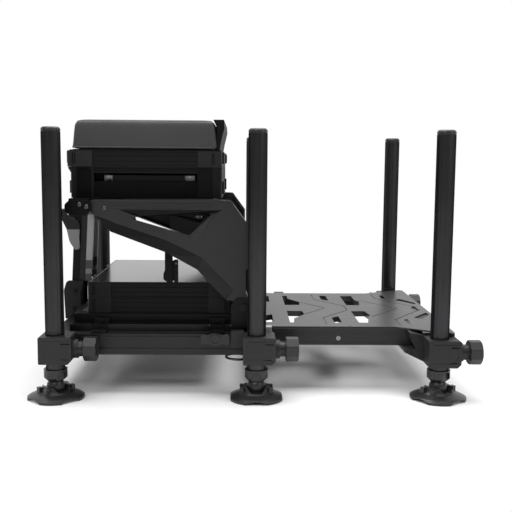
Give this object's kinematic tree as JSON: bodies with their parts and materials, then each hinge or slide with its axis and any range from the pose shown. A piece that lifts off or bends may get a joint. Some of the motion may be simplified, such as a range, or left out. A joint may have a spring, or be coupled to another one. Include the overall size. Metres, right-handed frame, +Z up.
{
  "type": "fishing seat box",
  "caption": "Low fishing seat with telescopic clamped legs, swivel feet, a sliding slotted footplate, stacked trays, a side drawer and a padded lid.",
  "frame": {"origin": "on the floor, midway between the two middle legs and at the middle of the overall length", "axes": "+X from the seat towards the footplate, +Y to the seated angler's left, +Z up"},
  "size_m": [0.8725, 0.646, 0.537],
  "materials": {
    "leg_tube": "black anodised, satin",
    "strap_metal": "bare, satin",
    "leg_plastic": "moulded, fine grain",
    "foot_plastic": "moulded, fine grain",
    "knob_plastic": "moulded, fine grain",
    "clamp_casting": "dark powder coat on a casting",
    "frame_metal": "black powder coat",
    "bright_metal": "bare, satin",
    "deck_metal": "dark anodised, fine brushed",
    "screw_metal": "polished",
    "dark_screw_metal": "blackened screws and pins",
    "lever_plastic": "grey grips on a black fork",
    "tray_plastic": "moulded, satin",
    "lid_plastic": "smooth, reflecting",
    "arm_metal": "black powder coat",
    "clip_plastic": "moulded",
    "cushion_vinyl": "dark grey coated fabric, soft grain"
  },
  "bodies": {
    "base": {"base_side_rails": "frame_metal", "base_cross_rails": "frame_metal", "rear_leg_clamps": "clamp_casting", "middle_leg_clamps": "clamp_casting", "slide_guides": "bright_metal", "tray_carrier": "frame_metal", "rear_column": "frame_metal", "column_straps": "strap_metal", "base_brackets": "frame_metal", "base_screws": "dark_screw_metal", "low_drawer_case": "tray_plastic", "low_tray": "tray_plastic"},
    "footplate": {"footplate_frame": "frame_metal", "footplate_deck": "deck_metal", "front_leg_clamps": "clamp_casting", "footplate_screws": "screw_metal"},
    "seat_frame": {"seat_arm_right": "arm_metal", "seat_arm_left": "arm_metal", "seat_cross_bars": "arm_metal", "arm_stops": "arm_metal", "seat_frame_bolts": "screw_metal", "deep_tray": "tray_plastic"},
    "side_drawer": {"side_drawer": "tray_plastic"},
    "shallow_tray": {"shallow_tray": "tray_plastic"},
    "seat_lid": {"seat_board": "tray_plastic", "seat_front_lip": "tray_plastic", "seat_cushion": "cushion_vinyl"},
    "clip_right": {"tray_clip_right": "clip_plastic"},
    "clip_left": {"tray_clip_left": "clip_plastic"},
    "low_drawer": {"low_drawer": "tray_plastic"},
    "low_lid": {"low_tray_lid": "lid_plastic"},
    "release_lever": {"release_lever": "lever_plastic"},
    "pull_ring": {"pull_ring": "screw_metal"},
    "lock_right": {"lock_knob_right": "knob_plastic"},
    "lock_left": {"lock_knob_left": "knob_plastic"},
    "leg_rear_right": {"leg_tube_rear_right": "leg_tube", "leg_fittings_rear_right": "leg_plastic"},
    "foot_rear_right": {"foot_rear_right": "foot_plastic"},
    "knob_rear_right": {"clamp_knob_rear_right": "knob_plastic"},
    "leg_rear_left": {"leg_tube_rear_left": "leg_tube", "leg_fittings_rear_left": "leg_plastic"},
    "foot_rear_left": {"foot_rear_left": "foot_plastic"},
    "knob_rear_left": {"clamp_knob_rear_left": "knob_plastic"},
    "leg_middle_right": {"leg_tube_middle_right": "leg_tube", "leg_fittings_middle_right": "leg_plastic"},
    "foot_middle_right": {"foot_middle_right": "foot_plastic"},
    "knob_middle_right": {"clamp_knob_middle_right": "knob_plastic"},
    "leg_middle_left": {"leg_tube_middle_left": "leg_tube", "leg_fittings_middle_left": "leg_plastic"},
    "foot_middle_left": {"foot_middle_left": "foot_plastic"},
    "knob_middle_left": {"clamp_knob_middle_left": "knob_plastic"},
    "leg_front_right": {"leg_tube_front_right": "leg_tube", "leg_fittings_front_right": "leg_plastic"},
    "foot_front_right": {"foot_front_right": "foot_plastic"},
    "knob_front_right": {"clamp_knob_front_right": "knob_plastic"},
    "leg_front_left": {"leg_tube_front_left": "leg_tube", "leg_fittings_front_left": "leg_plastic"},
    "foot_front_left": {"foot_front_left": "foot_plastic"},
    "knob_front_left": {"clamp_knob_front_left": "knob_plastic"}
  },
  "joints": [
    {"name": "footplate_slide", "type": "slide", "parent": "base", "child": "footplate", "axis": [-1, 0, 0], "range_m": [0, 0.15]},
    {"name": "seat_tilt", "type": "hinge", "parent": "base", "child": "seat_frame", "pos_m": [-0.026, 0, 0.169], "axis": [0, 1, 0], "range_deg": [0, 65]},
    {"name": "side_drawer_slide", "type": "slide", "parent": "seat_frame", "child": "side_drawer", "axis": [0, -1, 0], "range_m": [0, 0.15]},
    {"name": "shallow_tray_hinge", "type": "hinge", "parent": "seat_frame", "child": "shallow_tray", "pos_m": [-0.378, 0, 0.442], "axis": [0, -1, 0], "range_deg": [0, 80]},
    {"name": "seat_lid_hinge", "type": "hinge", "parent": "shallow_tray", "child": "seat_lid", "pos_m": [-0.378, 0, 0.474], "axis": [0, -1, 0], "range_deg": [0, 85]},
    {"name": "clip_right_hinge", "type": "hinge", "parent": "shallow_tray", "child": "clip_right", "pos_m": [-0.0672, -0.132, 0.4513], "axis": [0, 1, 0], "range_deg": [0, 60]},
    {"name": "clip_left_hinge", "type": "hinge", "parent": "shallow_tray", "child": "clip_left", "pos_m": [-0.0672, 0.132, 0.4513], "axis": [0, 1, 0], "range_deg": [0, 60]},
    {"name": "low_drawer_slide", "type": "slide", "parent": "base", "child": "low_drawer", "axis": [1, 0, 0], "range_m": [0, 0.22]},
    {"name": "low_lid_hinge", "type": "hinge", "parent": "base", "child": "low_lid", "pos_m": [-0.3425, 0, 0.2086], "axis": [0, -1, 0], "range_deg": [0, 25]},
    {"name": "release_lever_hinge", "type": "hinge", "parent": "base", "child": "release_lever", "pos_m": [-0.389, 0, 0.318], "axis": [0, 1, 0], "range_deg": [0, 25], "stiffness_Nm_per_rad": 1.5, "springref_deg": -11.46},
    {"name": "pull_ring_slide", "type": "slide", "parent": "base", "child": "pull_ring", "axis": [0, 0, -1], "range_m": [0, 0.008], "stiffness_N_per_m": 500, "springref_m": -0.004},
    {"name": "lock_right_turn", "type": "hinge", "parent": "base", "child": "lock_right", "pos_m": [-0.08, -0.2515, 0.112], "axis": [0, -1, 0], "range_deg": [0, 180]},
    {"name": "lock_left_turn", "type": "hinge", "parent": "base", "child": "lock_left", "pos_m": [-0.08, 0.2515, 0.112], "axis": [0, 1, 0], "range_deg": [0, 180]},
    {"name": "leg_rear_right_slide", "type": "slide", "parent": "base", "child": "leg_rear_right", "axis": [0, 0, -1], "range_m": [0, 0.33]},
    {"name": "foot_rear_right_tilt", "type": "hinge", "parent": "leg_rear_right", "child": "foot_rear_right", "pos_m": [-0.385, -0.269, 0.024], "axis": [0, 1, 0], "range_deg": [-15, 15]},
    {"name": "knob_rear_right_turn", "type": "hinge", "parent": "base", "child": "knob_rear_right", "pos_m": [-0.325, -0.269, 0.0966], "axis": [1, 0, 0], "range_deg": [0, 180]},
    {"name": "leg_rear_left_slide", "type": "slide", "parent": "base", "child": "leg_rear_left", "axis": [0, 0, -1], "range_m": [0, 0.33]},
    {"name": "foot_rear_left_tilt", "type": "hinge", "parent": "leg_rear_left", "child": "foot_rear_left", "pos_m": [-0.385, 0.269, 0.024], "axis": [0, 1, 0], "range_deg": [-15, 15]},
    {"name": "knob_rear_left_turn", "type": "hinge", "parent": "base", "child": "knob_rear_left", "pos_m": [-0.325, 0.269, 0.0966], "axis": [1, 0, 0], "range_deg": [0, 180]},
    {"name": "leg_middle_right_slide", "type": "slide", "parent": "base", "child": "leg_middle_right", "axis": [0, 0, -1], "range_m": [0, 0.33]},
    {"name": "foot_middle_right_tilt", "type": "hinge", "parent": "leg_middle_right", "child": "foot_middle_right", "pos_m": [0, -0.269, 0.024], "axis": [0, 1, 0], "range_deg": [-15, 15]},
    {"name": "knob_middle_right_turn", "type": "hinge", "parent": "base", "child": "knob_middle_right", "pos_m": [0.06, -0.269, 0.0966], "axis": [1, 0, 0], "range_deg": [0, 180]},
    {"name": "leg_middle_left_slide", "type": "slide", "parent": "base", "child": "leg_middle_left", "axis": [0, 0, -1], "range_m": [0, 0.33]},
    {"name": "foot_middle_left_tilt", "type": "hinge", "parent": "leg_middle_left", "child": "foot_middle_left", "pos_m": [0, 0.269, 0.024], "axis": [0, 1, 0], "range_deg": [-15, 15]},
    {"name": "knob_middle_left_turn", "type": "hinge", "parent": "base", "child": "knob_middle_left", "pos_m": [0.06, 0.269, 0.0966], "axis": [1, 0, 0], "range_deg": [0, 180]},
    {"name": "leg_front_right_slide", "type": "slide", "parent": "footplate", "child": "leg_front_right", "axis": [0, 0, -1], "range_m": [0, 0.33]},
    {"name": "foot_front_right_tilt", "type": "hinge", "parent": "leg_front_right", "child": "foot_front_right", "pos_m": [0.353, -0.269, 0.024], "axis": [0, 1, 0], "range_deg": [-15, 15]},
    {"name": "knob_front_right_turn", "type": "hinge", "parent": "footplate", "child": "knob_front_right", "pos_m": [0.413, -0.269, 0.0916], "axis": [1, 0, 0], "range_deg": [0, 180]},
    {"name": "leg_front_left_slide", "type": "slide", "parent": "footplate", "child": "leg_front_left", "axis": [0, 0, -1], "range_m": [0, 0.33]},
    {"name": "foot_front_left_tilt", "type": "hinge", "parent": "leg_front_left", "child": "foot_front_left", "pos_m": [0.353, 0.269, 0.024], "axis": [0, 1, 0], "range_deg": [-15, 15]},
    {"name": "knob_front_left_turn", "type": "hinge", "parent": "footplate", "child": "knob_front_left", "pos_m": [0.413, 0.269, 0.0916], "axis": [1, 0, 0], "range_deg": [0, 180]}
  ]
}
